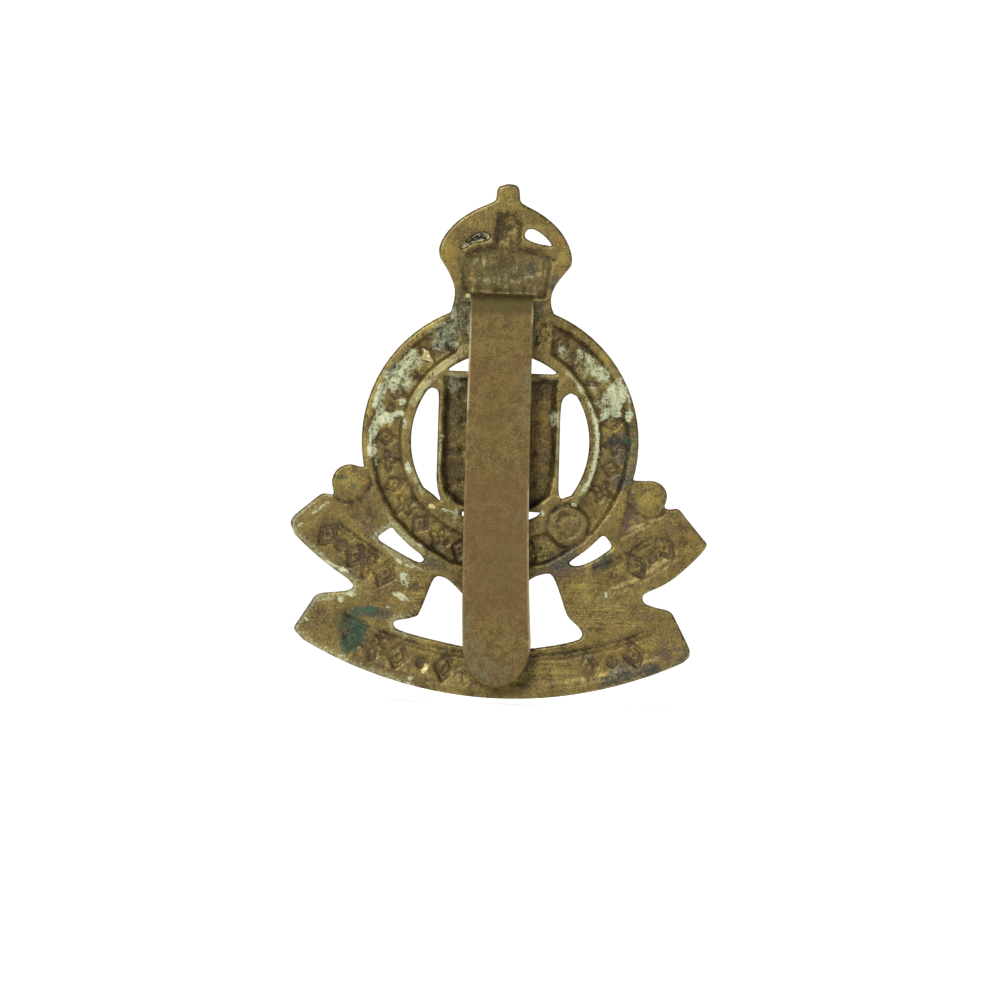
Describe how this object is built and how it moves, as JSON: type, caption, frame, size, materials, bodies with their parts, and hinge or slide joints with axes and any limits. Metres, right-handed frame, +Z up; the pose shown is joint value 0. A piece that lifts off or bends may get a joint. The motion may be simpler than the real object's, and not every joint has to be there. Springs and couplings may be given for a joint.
{
  "type": "cap badge",
  "caption": "Pierced, struck brass cap badge with a crown over a belt ring and scrolls, and a springy folded slider brazed to its back.",
  "frame": {"origin": "middle of the belt ring, on the flat border of the plate's back, which is the plane that bears on the cap", "axes": "+Z up to the crown's finial, -Y out of the decorated face, +Y out of the back where the slider is, +X to the right as the face is seen"},
  "size_m": [0.0388, 0.0048, 0.0479],
  "materials": {
    "plate_brass": "tarnished struck brass with dark hollows and green-white corrosion",
    "slider_brass": "smooth rolled strip, dull olive-brown",
    "blade_brass": "smooth rolled strip, dull olive-brown",
    "braze": "dark grey-brown, rough, with flux left on it"
  },
  "bodies": {
    "badge": {"badge_plate": "plate_brass", "slider_foot": "slider_brass", "braze_joint": "braze"},
    "blade": {"slider_blade": "blade_brass"}
  },
  "joints": [
    {"name": "blade_flex", "type": "hinge", "parent": "badge", "child": "blade", "pos_m": [0.00033, 0.00217, 0.01252], "axis": [1, 0, -0.0087], "range_deg": [-2.8, 3], "stiffness_Nm_per_rad": 1.82}
  ]
}
